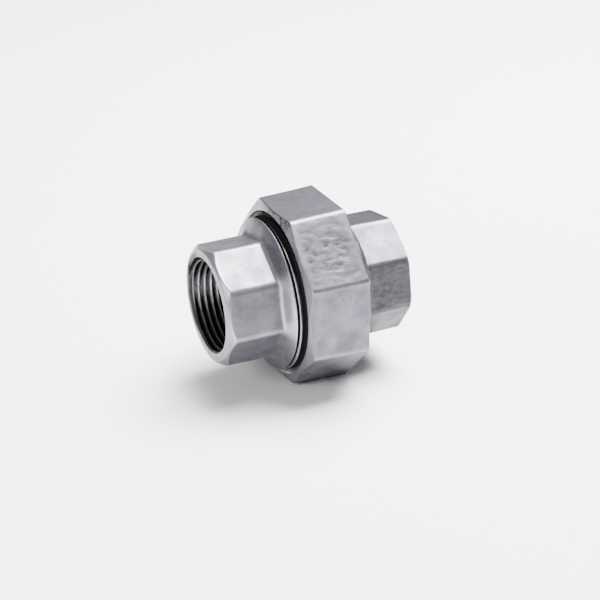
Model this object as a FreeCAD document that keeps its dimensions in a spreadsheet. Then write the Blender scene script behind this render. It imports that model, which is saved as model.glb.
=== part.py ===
import FreeCAD, Part
import math
import os

import Sketcher
from FreeCAD import Placement, Rotation, Vector

# A 3/4 inch flat-seat pipe union in malleable iron, in millimetres.
#
# The axis is X, the head end points to -X, the tail end to +X and Z is up. The origin is on the
# axis, half way between the two free ends. The union stands done up: the nut holds the collar of
# the tail end against the gasket, and the gasket against the seat of the head end.

DOCUMENT = FreeCAD.newDocument("pipe_union")

# Driving sizes: name, value, what it measures. Each can be changed by itself.
SIZES = [
    ("head_length", 27.15, "head end, free end to seat"),
    ("tail_length", 23.90, "tail end, seat to free end"),
    ("pipe_major_r", 13.22, "3/4 inch pipe thread, major radius"),
    ("pipe_pitch", 1.814, "3/4 inch pipe thread, pitch"),
    ("pipe_depth", 16.50, "length of each pipe thread"),
    ("pipe_mouth_step", 0.09, "countersink at the mouth, beyond the major radius"),
    ("waterway_r", 11.50, "cored hole behind the pipe threads"),
    ("body_wall", 2.68, "metal between the pipe thread and a wrench flat"),
    ("body_draft", 0.45, "draft of the body flats, degrees"),
    ("head_turn", -11.3, "head end's flats, turned from the nut's flats, degrees"),
    ("tail_turn", -9.0, "tail end's flats, turned from the nut's flats, degrees"),
    ("head_land", 1.90, "flat ring round the head end's mouth"),
    ("head_chamfer", 1.90, "turned chamfer of the head's free end, along the axis"),
    ("tail_land", 3.20, "flat ring round the tail end's mouth"),
    ("tail_chamfer", 0.60, "turned chamfer of the tail's free end, along the axis"),
    ("thread_show", 2.06, "spigot left in view between flare and nut"),
    ("spigot_chamfer", 0.80, "chamfer at the seat"),
    ("flare_angle", 62.0, "slope of the flare between body and spigot, degrees"),
    ("flare_land", 0.40, "width of the flare's rim"),
    ("flare_step", 0.20, "rim of the flare, below the crest of the thread"),
    ("undercut", 0.60, "run-out groove between flare and thread"),
    ("thread_pitch", 2.00, "union thread, pitch"),
    ("flank_gap", 0.10, "union thread, play between flanks along the axis"),
    ("crest_gap", 0.15, "union thread, play at crests and roots"),
    ("gasket_thick", 2.00, "gasket, thickness"),
    ("gasket_inset", 0.25, "gasket, inside the rim of the tail's collar"),
    ("gasket_step", 1.20, "gasket's hole, larger than the waterway by"),
    ("seat_gap", 0.02, "play at each flat seat"),
    ("collar_thick", 3.50, "tail end's collar, thickness"),
    ("collar_chamfer", 0.40, "chamfer of the collar's rim"),
    ("collar_gap", 0.40, "collar inside the crest of the nut's thread"),
    ("shoulder_grip", 1.81, "overlap of collar and shoulder, radially"),
    ("hole_gap", 0.50, "nut's hole round the body's corners"),
    ("neck_gap", 0.30, "nut's hole round the neck"),
    ("neck_length", 7.60, "round neck behind the collar"),
    ("neck_slope", 70.0, "slope from the neck down to the flats, degrees"),
    ("nut_length", 16.90, "nut, front to back"),
    ("nut_thread", 8.60, "nut, front to the end of its thread"),
    ("nut_shoulder", 3.40, "thickness of the nut's shoulder"),
    ("nut_wall", 2.63, "metal outside the nut's recess, at the front flats"),
    ("nut_draft", 2.54, "draft of the nut's flats, degrees"),
    ("nut_chamfer_angle", 19.0, "slope of the nut's turned front, degrees"),
    ("nut_mouth_step", 1.45, "countersink of the nut, beyond the roots of its thread"),
    ("recess_step", 0.12, "recess behind the nut's thread, beyond its roots"),
]

# Sizes and places that follow from the driving sizes. x is a place along the axis, r a radius.
PLACES = [
    ("head_end_x", "-(sizes.head_length + sizes.gasket_thick + 2 * sizes.seat_gap + sizes.tail_length) / 2"),
    ("seat_x", "places.head_end_x + sizes.head_length"),
    ("gasket_x", "places.seat_x + sizes.seat_gap"),
    ("tail_seat_x", "places.gasket_x + sizes.gasket_thick + sizes.seat_gap"),
    ("collar_back_x", "places.tail_seat_x + sizes.collar_thick"),
    ("neck_end_x", "places.collar_back_x + sizes.neck_length"),
    ("tail_end_x", "places.tail_seat_x + sizes.tail_length"),
    ("shoulder_x", "places.collar_back_x + sizes.seat_gap"),
    ("nut_back_x", "places.shoulder_x + sizes.nut_shoulder"),
    ("nut_front_x", "places.nut_back_x - sizes.nut_length"),
    ("nut_thread_x", "places.nut_front_x + sizes.nut_thread"),
    ("flare_x", "places.nut_front_x - sizes.thread_show"),
    ("pipe_minor_r", "sizes.pipe_major_r - 0.640327 * sizes.pipe_pitch"),
    ("pipe_mouth_r", "sizes.pipe_major_r + sizes.pipe_mouth_step"),
    ("head_rim_r", "places.pipe_mouth_r + sizes.head_land"),
    ("tail_rim_r", "places.pipe_mouth_r + sizes.tail_land"),
    ("body_flat_r", "sizes.pipe_major_r + sizes.body_wall"),
    ("body_corner_r", "places.body_flat_r / cos(22.5)"),
    ("hole_r", "places.body_corner_r + sizes.hole_gap"),
    ("neck_r", "places.hole_r - sizes.neck_gap"),
    ("collar_r", "places.hole_r + sizes.shoulder_grip"),
    ("gasket_r", "places.collar_r - sizes.gasket_inset"),
    ("gasket_hole_r", "sizes.waterway_r + sizes.gasket_step"),
    ("nut_crest_r", "places.collar_r + sizes.collar_gap"),
    ("spigot_root_r", "places.nut_crest_r - sizes.crest_gap"),
    ("spigot_crest_r", "places.nut_crest_r + 0.5413 * sizes.thread_pitch"),
    ("nut_root_r", "places.spigot_crest_r + sizes.crest_gap"),
    ("pitch_line_r", "(places.nut_crest_r + places.spigot_crest_r) / 2"),
    ("groove_half", "sizes.thread_pitch / 4 + sizes.flank_gap / 2"),
    ("thread_start_x", "places.flare_x + 0.65 * sizes.thread_pitch"),
    ("flare_r", "places.spigot_crest_r - sizes.flare_step"),
    ("foot_r", "places.body_flat_r - sizes.body_wall / 2"),
    ("flare_run", "(places.flare_r - places.foot_r) / tan(sizes.flare_angle)"),
    ("recess_r", "places.nut_root_r + sizes.recess_step"),
    ("nut_mouth_r", "places.nut_root_r + sizes.nut_mouth_step"),
    ("nut_front_flat_r", "places.recess_r + sizes.nut_wall"),
    ("nut_back_flat_r", "places.nut_front_flat_r + sizes.nut_length * tan(sizes.nut_draft)"),
    ("nut_back_corner_r", "places.nut_back_flat_r / cos(22.5)"),
]

FLANK = "tan(30)"
CLEAR = 2.0  # how far a cutting outline runs past the metal that it cuts


def make_sizes():
    """The sheet of driving sizes, one row each."""
    sheet = DOCUMENT.addObject("Spreadsheet::Sheet", "sizes")
    for row, (alias, value, meaning) in enumerate(SIZES, start=1):
        sheet.set(f"A{row}", meaning)
        sheet.set(f"B{row}", str(value))
        sheet.setAlias(f"B{row}", alias)
    DOCUMENT.recompute()
    return sheet


def make_places():
    """The sizes and places that follow from the sheet, each held by its formula."""
    places = DOCUMENT.addObject("App::VarSet", "places")
    for name, formula in PLACES:
        places.addProperty("App::PropertyFloat", name, "Places")
        places.setExpression(name, formula)
    DOCUMENT.recompute()
    return places


def make_body(name):
    """An empty body whose label names its file."""
    body = DOCUMENT.addObject("PartDesign::Body", name)
    body.Label = name
    body.Placement = Placement()
    return body


def sketch_on(body, role, name):
    """A sketch on one of the body's own origin planes."""
    sketch = body.newObject("Sketcher::SketchObject", name)
    plane = next(item for item in body.Origin.OriginFeatures if item.Role == role)
    sketch.AttachmentSupport = [(plane, "")]
    sketch.MapMode = "FlatFace"
    return sketch


def outline(body, name, corners):
    """A closed outline in the XZ plane. Each corner is a pair of formulas: x, then r."""
    sketch = sketch_on(body, "XZ_Plane", name)
    points = [Vector(sketch.evalExpression(x), sketch.evalExpression(r), 0) for x, r in corners]
    count = len(points)
    for index in range(count):
        sketch.addGeometry(Part.LineSegment(points[index], points[(index + 1) % count]), False)
    for index in range(count):
        sketch.addConstraint(Sketcher.Constraint("Coincident", index, 2, (index + 1) % count, 1))
    for index, (x, r) in enumerate(corners):
        for kind, value, formula in (("DistanceX", points[index].x, x), ("DistanceY", points[index].y, r)):
            constraint = sketch.addConstraint(Sketcher.Constraint(kind, -1, 1, index, 1, value))
            sketch.setExpression(f"Constraints[{constraint}]", formula)
    return sketch


def turned(body, kind, name, corners):
    """Turn an outline about the X axis: PartDesign::Revolution adds, PartDesign::Groove cuts."""
    sketch = outline(body, f"{name}_outline", corners)
    DOCUMENT.recompute()
    feature = body.newObject(kind, name)
    feature.Profile = sketch
    feature.ReferenceAxis = (sketch, ["H_Axis"])
    feature.Angle = 360
    DOCUMENT.recompute()
    return feature


def octagon_pad(body, name, at, corner, turn, length, draft, towards_minus):
    """A drafted octagonal prism. Its largest end is at the place given, and one flat is on top."""
    sketch = sketch_on(body, "YZ_Plane", f"{name}_outline")
    sketch.setExpression("AttachmentOffset.Base.z", at)
    sketch.setExpression("AttachmentOffset.Rotation.Angle", turn)
    radius = sketch.evalExpression(corner)
    angles = [math.radians(22.5 + 45 * index) for index in range(9)]
    points = [Vector(radius * math.cos(angle), radius * math.sin(angle), 0) for angle in angles]
    sides = range(8)
    for index in sides:
        sketch.addGeometry(Part.LineSegment(points[index], points[index + 1]), False)
    circle = sketch.addGeometry(Part.Circle(Vector(), Vector(0, 0, 1), radius), True)
    sketch.addConstraint(Sketcher.Constraint("Coincident", circle, 3, -1, 1))
    for index in sides:
        sketch.addConstraint(Sketcher.Constraint("Coincident", index, 2, (index + 1) % 8, 1))
        sketch.addConstraint(Sketcher.Constraint("PointOnObject", index, 1, circle))
    for index in sides[1:]:
        sketch.addConstraint(Sketcher.Constraint("Equal", 0, index))
    sketch.addConstraint(Sketcher.Constraint("Horizontal", 1))
    size = sketch.addConstraint(Sketcher.Constraint("Radius", circle, radius))
    sketch.setExpression(f"Constraints[{size}]", corner)
    DOCUMENT.recompute()
    pad = body.newObject("PartDesign::Pad", name)
    pad.Profile = sketch
    pad.Reversed = towards_minus
    pad.setExpression("Length", length)
    pad.setExpression("TaperAngle", f"-{draft}")
    DOCUMENT.recompute()
    return pad


def end_chamfer(body, end, inward, rim, length):
    """Turn the corners of a free end down to the rim of its flat face."""
    rise = f"2 * (places.body_corner_r - {rim})"
    turned(body, "PartDesign::Groove", "end_chamfer", [
        (end, rim),
        (f"{end} + {inward} * 2 * {length}", f"{rim} + {rise}"),
        (end, f"{rim} + {rise}"),
    ])


def waterway(body, end, seat, inward):
    """Bore the pipe thread's hole with its countersink, and the cored hole behind it."""
    bottom = f"{end} + {inward} * sizes.pipe_depth"
    turned(body, "PartDesign::Groove", "waterway", [
        (f"{end} - {inward} * {CLEAR}", "0"),
        (f"{end} - {inward} * {CLEAR}", "places.pipe_mouth_r"),
        (end, "places.pipe_mouth_r"),
        (f"{end} + {inward} * (places.pipe_mouth_r - places.pipe_minor_r)", "places.pipe_minor_r"),
        (bottom, "places.pipe_minor_r"),
        (f"{bottom} + {inward} * (places.pipe_minor_r - sizes.waterway_r)", "sizes.waterway_r"),
        (f"{seat} + {inward} * {CLEAR}", "sizes.waterway_r"),
        (f"{seat} + {inward} * {CLEAR}", "0"),
    ])


def thread_groove(body, name, start, height, deep, shallow, half_deep, half_shallow):
    """Cut one helical groove of the union thread, right-handed, from start towards +X."""
    sketch = outline(body, f"{name}_outline", [
        (f"{start} - {half_deep}", deep),
        (f"{start} + {half_deep}", deep),
        (f"{start} + {half_shallow}", shallow),
        (f"{start} - {half_shallow}", shallow),
    ])
    DOCUMENT.recompute()
    before = body.Tip.Shape.Volume
    groove = body.newObject("PartDesign::SubtractiveHelix", name)
    groove.Profile = sketch
    groove.ReferenceAxis = (sketch, ["H_Axis"])
    groove.Mode = "pitch-height-angle"
    groove.LeftHanded = False
    groove.setExpression("Pitch", "sizes.thread_pitch")
    groove.setExpression("Height", height)
    DOCUMENT.recompute()
    assert groove.Shape.Volume < before, f"{name} cuts nothing"
    return groove


def head_end():
    """The head end: an octagonal body that flares out to a threaded spigot with a flat seat."""
    body = make_body("head_end")
    turned(body, "PartDesign::Revolution", "flare_and_spigot", [
        ("places.flare_x - sizes.flare_land - places.flare_run", "0"),
        ("places.flare_x - sizes.flare_land - places.flare_run", "places.foot_r"),
        ("places.flare_x - sizes.flare_land", "places.flare_r"),
        ("places.flare_x", "places.flare_r"),
        ("places.flare_x", "places.spigot_root_r - sizes.crest_gap"),
        ("places.flare_x + sizes.undercut", "places.spigot_root_r - sizes.crest_gap"),
        ("places.flare_x + sizes.undercut", "places.spigot_crest_r"),
        ("places.seat_x - sizes.spigot_chamfer", "places.spigot_crest_r"),
        ("places.seat_x", "places.spigot_crest_r - sizes.spigot_chamfer"),
        ("places.seat_x", "0"),
    ])
    root_half = f"places.groove_half - (places.pitch_line_r - places.spigot_root_r) * {FLANK}"
    outer = "(places.spigot_crest_r + sizes.crest_gap / 2)"
    outer_half = f"places.groove_half + ({outer} - places.pitch_line_r) * {FLANK}"
    thread_groove(
        body, "spigot_thread", "places.thread_start_x",
        "places.seat_x + sizes.thread_pitch - places.thread_start_x",
        "places.spigot_root_r", outer, f"({root_half})", f"({outer_half})",
    )
    octagon_pad(
        body, "octagon", "places.flare_x - sizes.flare_land", "places.body_corner_r", "sizes.head_turn",
        "places.flare_x - sizes.flare_land - places.head_end_x", "sizes.body_draft", True,
    )
    end_chamfer(body, "places.head_end_x", 1, "places.head_rim_r", "sizes.head_chamfer")
    waterway(body, "places.head_end_x", "places.seat_x", 1)
    return body


def gasket():
    """The flat ring that seals between the two seats."""
    body = make_body("gasket")
    turned(body, "PartDesign::Revolution", "ring", [
        ("places.gasket_x", "places.gasket_hole_r"),
        ("places.gasket_x", "places.gasket_r"),
        ("places.gasket_x + sizes.gasket_thick", "places.gasket_r"),
        ("places.gasket_x + sizes.gasket_thick", "places.gasket_hole_r"),
    ])
    return body


def tail_end():
    """The tail end: an octagonal body on a round neck, with the collar that the nut pulls on."""
    body = make_body("tail_end")
    turned(body, "PartDesign::Revolution", "collar_and_neck", [
        ("places.tail_seat_x", "0"),
        ("places.tail_seat_x", "places.collar_r - sizes.collar_chamfer"),
        ("places.tail_seat_x + sizes.collar_chamfer", "places.collar_r"),
        ("places.collar_back_x", "places.collar_r"),
        ("places.collar_back_x", "places.neck_r"),
        ("places.neck_end_x", "places.neck_r"),
        ("places.neck_end_x + (places.neck_r - places.foot_r) / tan(sizes.neck_slope)", "places.foot_r"),
        ("places.neck_end_x + (places.neck_r - places.foot_r) / tan(sizes.neck_slope)", "0"),
    ])
    octagon_pad(
        body, "octagon", "places.neck_end_x", "places.body_corner_r", "sizes.tail_turn",
        "places.tail_end_x - places.neck_end_x", "sizes.body_draft", False,
    )
    end_chamfer(body, "places.tail_end_x", -1, "places.tail_rim_r", "sizes.tail_chamfer")
    waterway(body, "places.tail_end_x", "places.tail_seat_x", -1)
    return body


def union_nut():
    """The union nut: a drafted octagon, threaded at the front, with a shoulder at the back."""
    body = make_body("union_nut")
    octagon_pad(
        body, "octagon", "places.nut_back_x", "places.nut_back_corner_r", "0",
        "sizes.nut_length", "sizes.nut_draft", True,
    )
    rise = "(places.nut_back_corner_r - places.nut_mouth_r)"
    turned(body, "PartDesign::Groove", "front_chamfer", [
        ("places.nut_front_x", "places.nut_mouth_r"),
        (f"places.nut_front_x + {rise} * tan(sizes.nut_chamfer_angle)", "places.nut_back_corner_r"),
        ("places.nut_front_x", "places.nut_back_corner_r"),
    ])
    turned(body, "PartDesign::Groove", "hollow", [
        (f"places.nut_front_x - {CLEAR}", "0"),
        (f"places.nut_front_x - {CLEAR}", "places.nut_mouth_r"),
        ("places.nut_front_x", "places.nut_mouth_r"),
        ("places.nut_front_x + (places.nut_mouth_r - places.nut_crest_r) / 2", "places.nut_crest_r"),
        ("places.nut_thread_x", "places.nut_crest_r"),
        ("places.nut_thread_x + places.recess_r - places.nut_crest_r", "places.recess_r"),
        ("places.shoulder_x", "places.recess_r"),
        ("places.shoulder_x", "places.hole_r"),
        (f"places.nut_back_x + {CLEAR}", "places.hole_r"),
        (f"places.nut_back_x + {CLEAR}", "0"),
    ])
    root_half = f"places.groove_half - (places.nut_root_r - places.pitch_line_r) * {FLANK}"
    inner = "(places.nut_crest_r - sizes.crest_gap / 2)"
    inner_half = f"places.groove_half + (places.pitch_line_r - {inner}) * {FLANK}"
    turns_back = "floor((places.nut_front_x - places.thread_start_x) / sizes.thread_pitch - 0.6)"
    start = f"(places.thread_start_x + sizes.thread_pitch * ({turns_back} + 0.5))"
    thread_groove(
        body, "nut_thread", start,
        f"places.nut_thread_x + sizes.thread_pitch * 0.8 - {start}",
        "places.nut_root_r", inner, f"({root_half})", f"({inner_half})",
    )
    return body


def check_document():
    """Stop if any object of the document has failed."""
    for item in DOCUMENT.Objects:
        failed = [word for word in item.State if word in ("Invalid", "Error")]
        assert not failed, f"{item.Name}: {item.State}"


def export(bodies):
    """Check each sub-part's shape, and write it to its own file."""
    for body in bodies:
        shape = body.Shape
        assert not shape.isNull() and shape.isValid(), f"{body.Label} has no valid shape"
        assert len(shape.Solids) == 1, f"{body.Label} isn't one solid"
    os.makedirs("parts", exist_ok=True)
    for body in bodies:
        body.Shape.exportStep(f"parts/{body.Label}.step")
        box = body.Shape.optimalBoundingBox()
        print(f"{body.Label}: x {box.XMin:.3f} to {box.XMax:.3f}, volume {body.Shape.Volume:.1f}")


make_sizes()
make_places()
BODIES = [head_end(), gasket(), tail_end(), union_nut()]
DOCUMENT.recompute()
check_document()
export(BODIES)
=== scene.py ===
"""A pipe union: two galvanised ends drawn together on a gasket by a union nut, on a pale studio floor."""
import logging
import math
from dataclasses import dataclass, field
from enum import IntEnum

import bmesh
import bpy
from mathutils import Matrix, Vector, noise


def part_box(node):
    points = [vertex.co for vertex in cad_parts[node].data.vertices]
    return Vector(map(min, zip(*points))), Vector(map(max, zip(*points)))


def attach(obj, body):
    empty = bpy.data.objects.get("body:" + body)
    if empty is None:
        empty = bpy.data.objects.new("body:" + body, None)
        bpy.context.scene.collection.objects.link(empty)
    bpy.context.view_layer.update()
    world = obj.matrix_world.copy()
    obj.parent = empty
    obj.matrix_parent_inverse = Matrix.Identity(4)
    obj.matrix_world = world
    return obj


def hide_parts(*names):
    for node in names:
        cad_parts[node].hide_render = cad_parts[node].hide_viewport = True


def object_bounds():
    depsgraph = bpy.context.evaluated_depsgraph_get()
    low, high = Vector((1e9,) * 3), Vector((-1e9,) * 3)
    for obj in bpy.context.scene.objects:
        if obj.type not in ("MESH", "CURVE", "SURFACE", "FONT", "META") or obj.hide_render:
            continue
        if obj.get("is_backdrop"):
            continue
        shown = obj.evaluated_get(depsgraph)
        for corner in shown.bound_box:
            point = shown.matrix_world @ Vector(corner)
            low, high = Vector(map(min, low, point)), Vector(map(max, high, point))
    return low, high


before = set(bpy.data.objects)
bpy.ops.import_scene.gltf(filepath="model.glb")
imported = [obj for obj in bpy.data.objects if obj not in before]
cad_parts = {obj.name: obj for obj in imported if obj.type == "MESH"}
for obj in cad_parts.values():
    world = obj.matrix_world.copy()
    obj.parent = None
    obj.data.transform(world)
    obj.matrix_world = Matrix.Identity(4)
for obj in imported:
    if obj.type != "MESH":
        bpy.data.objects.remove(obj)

log = logging.getLogger("pipe_union")

MM = 0.001  # metres in a millimetre: the sizes below are in millimetres, and angles in degrees
SIDE = 45.0  # angle between neighbouring corners of an octagon
FLAT_SHARE = math.cos(math.radians(SIDE / 2))  # a flat's distance from the axis, over a sharp corner's
SHARP = 38.0  # angle between two faces past which their edge is shaded sharp
SENSOR = 36.0  # width of the camera's sensor

Colour = tuple[float, float, float, float]
Point = tuple[float, float, float]
Pressed = tuple[float, float, float]  # finished radius, then wear with painted highlight, and grime with painted shade and painted light, from 0 to 1


class Zone(IntEnum):
    """How a stretch of a piece's surface was made."""

    SKIN = 0
    CAST = 1
    TURNED = 2
    PIPE_THREAD = 3
    UNION_THREAD = 4


@dataclass(frozen=True)
class Stretch:
    """One stretch of the outline that a piece is spun from. It runs on to the next stretch's point.

    Args:
        x: Place along the bore's axis.
        r: Radius at that place.
        zone: How the surface was made.
        step: Longest distance between neighbouring rings of vertices.
    """

    x: float
    r: float
    zone: Zone = Zone.TURNED
    step: float = 1.2


def smooth_min(a: float, b: float, blend: float) -> float:
    """The smaller of two values, rounded off where they are closer than blend."""
    overlap = max(blend - abs(a - b), 0.0) / blend
    return min(a, b) - overlap * overlap * blend / 4


def smooth_max(a: float, b: float, blend: float) -> float:
    """The larger of two values, filled in where they are closer than blend."""
    return -smooth_min(-a, -b, blend)


def fade(value: float, start: float, end: float) -> float:
    """0 at start, 1 at end, and an even S between them."""
    share = min(max((value - start) / (end - start), 0.0), 1.0)
    return share * share * (3 - 2 * share)


def lip(distance: float, rounding: float) -> float:
    """How far a rounded edge falls short of its sharp corner, at a distance from it."""
    short = min(max(rounding - distance, 0.0), rounding)
    return rounding - math.sqrt(rounding**2 - short**2)


def hump(value: float, width: float) -> float:
    """1 at 0, falling softly to nothing a few widths away."""
    return math.exp(-((value / width) ** 2))


def facing_away(angle: float) -> float:
    """Angle from the back of the union, -180 to 180, less than 0 below it."""
    return (angle + 270.0) % 360.0 - 180.0


def relief(x: float, r: float, angle: float, size: float, seed: float) -> float:
    """Soft bumps over a surface.

    Args:
        x: Place along the axis.
        r: Radius of the surface.
        angle: Angle round the axis.
        size: Width of a bump.
        seed: Any number, another one for other bumps.

    Returns:
        The height, from 0 to 1.
    """
    turn = math.radians(angle)
    spot = Vector((x, r * math.sin(turn), r * math.cos(turn))) / size
    return min(max(0.5 + 0.6 * noise.noise(spot + Vector((seed, seed / 3, -seed))), 0.0), 1.0)


@dataclass(frozen=True)
class Octagon:
    """An octagonal section with rounded corners.

    Args:
        flat: Distance from the axis to a flat, at the section's largest end.
        rounding: Radius of the corners.
        turn: Turn of the flats from upright, the top towards the front.
    """

    flat: float
    rounding: float
    turn: float = 0.0

    def from_corner(self, angle: float) -> float:
        """Angle to the nearest corner."""
        return abs((angle - self.turn) % SIDE - SIDE / 2)

    def radius(self, angle: float, flat: float) -> float:
        """Radius of the section at an angle round the axis.

        Args:
            angle: Angle from upright, towards the front.
            flat: Distance from the axis to a flat here.

        Returns:
            The distance from the axis to the surface.
        """
        half = math.radians(SIDE / 2)
        off = math.radians(self.from_corner(angle))
        centre = (flat - self.rounding) / FLAT_SHARE
        arc_end = math.atan2(self.rounding * math.sin(half), centre + self.rounding * math.cos(half))
        if off < arc_end:
            return centre * math.cos(off) + math.sqrt(self.rounding**2 - (centre * math.sin(off)) ** 2)
        return flat / math.cos(half - off)


@dataclass(frozen=True)
class PipeThread:
    """A 3/4 inch parallel pipe thread, cut into a bore.

    Args:
        pitch: Distance between turns.
        crest: Radius at the crests, which stand inwards.
        depth: Depth of the grooves.
    """

    pitch: float = 1.814
    crest: float = 12.06
    depth: float = 1.15

    def groove(self, x: float, angle: float) -> float:
        """How deep in the groove a place is: 0 on a crest, 1 in a root."""
        turn = (x / self.pitch - angle / 360.0) % 1.0
        return fade(1 - abs(2 * turn - 1), 0.06, 0.94)


@dataclass(frozen=True)
class UnionThread:
    """The thread that joins the spigot and the nut.

    Args:
        seat: Place of the spigot's seat.
        first: Distance from the seat back to the middle of a spigot groove, at the top.
        pitch: Distance between turns.
        crest: Radius at the spigot's crests.
        height: Height of the thread.
        play: Room between crests and roots.
        flank: Angle of the flanks from straight across the axis.
        flank_gap: Room between the flanks, along the axis.
        rounding: Rounding of crests and roots.
    """

    seat: float
    first: float = 8.7
    pitch: float = 2.0
    crest: float = 21.0
    height: float = 1.0826
    play: float = 0.15
    flank: float = 30.0
    flank_gap: float = 0.10
    rounding: float = 0.22

    @property
    def nut_crest(self) -> float:
        """Radius at the nut's crests, which stand inwards."""
        return self.crest - self.height

    @property
    def depth(self) -> float:
        """Depth of a groove, from crest to root."""
        return self.height + self.play

    def rise(self, x: float, angle: float, shift: float) -> float:
        """Height of the flank beside the nearest groove, from the pitch line.

        Args:
            x: Place along the axis.
            angle: Angle round the axis.
            shift: Share of a turn that the groove is shifted by.

        Returns:
            The height, more on the crests and less in the grooves.
        """
        start = self.seat - self.first
        turn = ((x - start) / self.pitch - angle / 360.0 + shift) % 1.0
        beside = min(turn, 1 - turn) * self.pitch - self.pitch / 4 - self.flank_gap / 2
        return beside / math.tan(math.radians(self.flank))

    def spigot(self, x: float, angle: float) -> float:
        """Radius of the spigot's thread."""
        flank = self.crest - self.height / 2 + self.rise(x, angle, 0.0)
        return smooth_max(smooth_min(flank, self.crest, self.rounding), self.crest - self.depth, self.rounding)

    def nut(self, x: float, angle: float) -> float:
        """Radius of the nut's thread."""
        flank = self.crest - self.height / 2 - self.rise(x, angle, 0.5)
        return smooth_max(smooth_min(flank, self.crest + self.play, self.rounding), self.nut_crest, self.rounding)


class Graph:
    """Short ways to build a material's node tree, in millimetres."""

    def __init__(self, name: str) -> None:
        """Start an empty material.

        Args:
            name: Name of the material.
        """
        self.material = bpy.data.materials.new(name)
        self.material.use_nodes = True
        self.tree = self.material.node_tree
        self.tree.nodes.clear()
        coords = self.node("TexCoord").outputs["Object"]
        self.place = self.node("Mapping", {"Vector": coords, "Scale": (1 / MM,) * 3}).outputs[0]

    def feed(self, socket: bpy.types.NodeSocket, value: object) -> None:
        """Join a socket, or set its value.

        Args:
            socket: The input.
            value: The socket to join to it, or its value.
        """
        if isinstance(value, bpy.types.NodeSocket):
            self.tree.links.new(value, socket)
        else:
            socket.default_value = value

    def node(self, kind: str, inputs: dict | None = None, **settings: object) -> bpy.types.Node:
        """Add a node.

        Args:
            kind: The node's type, without its ShaderNode prefix.
            inputs: A value, or the socket to join, for each input by name or place.
            settings: The node's own properties.

        Returns:
            The new node.
        """
        made = self.tree.nodes.new(f"ShaderNode{kind}")
        for name, value in settings.items():
            setattr(made, name, value)
        for name, value in (inputs or {}).items():
            self.feed(made.inputs[name], value)
        return made

    def noise(self, size: float, detail: float = 3.0, twist: float = 0.0) -> bpy.types.NodeSocket:
        """Soft noise whose patches are about size across."""
        inputs = {"Vector": self.place, "Scale": 1 / size, "Detail": detail, "Distortion": twist}
        return self.node("TexNoise", inputs).outputs[0]

    def stored(self, name: str, share: float = 1.0) -> bpy.types.NodeSocket:
        """A share of a number that is stored on the piece's vertices."""
        return self.sum("MULTIPLY", self.node("Attribute", attribute_name=name).outputs["Fac"], share)

    def sum(self, operation: str, a: object, b: object) -> bpy.types.NodeSocket:
        """One sum of two numbers or sockets."""
        return self.node("Math", {0: a, 1: b}, operation=operation).outputs[0]

    def span(self, value: bpy.types.NodeSocket, low: float, high: float,
             to_low: float = 0.0, to_high: float = 1.0) -> bpy.types.NodeSocket:
        """Stretch the part of a value from low to high over to_low to to_high."""
        inputs = {"Value": value, "From Min": low, "From Max": high, "To Min": to_low, "To Max": to_high}
        return self.node("MapRange", inputs).outputs[0]

    def mix(self, share: object, a: object, b: object, mode: str = "MIX") -> bpy.types.NodeSocket:
        """Mix a share of colour b into colour a."""
        return self.node("Mix", {0: share, 6: a, 7: b}, data_type="RGBA", blend_type=mode).outputs[2]

    def bump(self, height: bpy.types.NodeSocket, depth: float,
             under: bpy.types.NodeSocket | None = None) -> bpy.types.NodeSocket:
        """A bump, which may lie over an earlier one.

        Args:
            height: The pattern's height, from 0 to 1.
            depth: What a height of 1 stands for.
            under: The earlier bump.

        Returns:
            The bent normal.
        """
        inputs = {"Height": height, "Distance": depth * MM, "Strength": 1.0}
        if under is not None:
            inputs["Normal"] = under
        return self.node("Bump", inputs).outputs[0]

    def streaky(self, share: float, contrast: float) -> bpy.types.NodeSocket:
        """The stored grime and painted shade, broken into short streaks along the axis.

        Args:
            share: Share of the grime and painted shade.
            contrast: How far the streaks stand out.

        Returns:
            How dark it is from grime and painted shade, from 0 to 1.
        """
        along = self.node("Mapping", {"Vector": self.place, "Scale": (0.4, 1.0, 1.0)}).outputs[0]
        patches = self.node("TexNoise", {"Vector": along, "Scale": 1.2, "Detail": 3.0}).outputs[0]
        streaks = self.span(patches, 0.38, 0.62, 1 - contrast, 1 + contrast)
        return self.sum("MINIMUM", self.sum("MULTIPLY", self.stored("grime_and_shade", share), streaks), 1.0)

    def metal(self, share: float, dirt_and_shade: bpy.types.NodeSocket, sockets: dict) -> bpy.types.Material:
        """A metal that is matt where it is dirty or painted with shade.

        Args:
            share: How metallic it is where it is clean.
            dirt_and_shade: How dark it is from grime and painted shade, from 0 to 1.
            sockets: The shader's other inputs.

        Returns:
            The material.
        """
        # where painted shade is stored the metal also turns matt, like a dark sheet
        sockets["Metallic"] = self.span(dirt_and_shade, 0.0, 1.0, share, 0.0)
        sockets["Specular IOR Level"] = self.span(dirt_and_shade, 0.0, 1.0, 0.5, 0.0)
        return self.finish(sockets)

    def finish(self, sockets: dict) -> bpy.types.Material:
        """Add the shader and the output.

        Args:
            sockets: The shader's inputs.

        Returns:
            The material.
        """
        shader = self.node("BsdfPrincipled", sockets)
        self.node("OutputMaterial", {"Surface": shader.outputs[0]})
        return self.material


def grey(level: float, lilac: float = 0.0) -> Colour:
    """A grey of that brightness, with a share of lilac in it."""
    return (level * (1 - 0.1 * lilac), level * (1 - 0.25 * lilac), level * (1 + lilac), 1.0)


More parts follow.
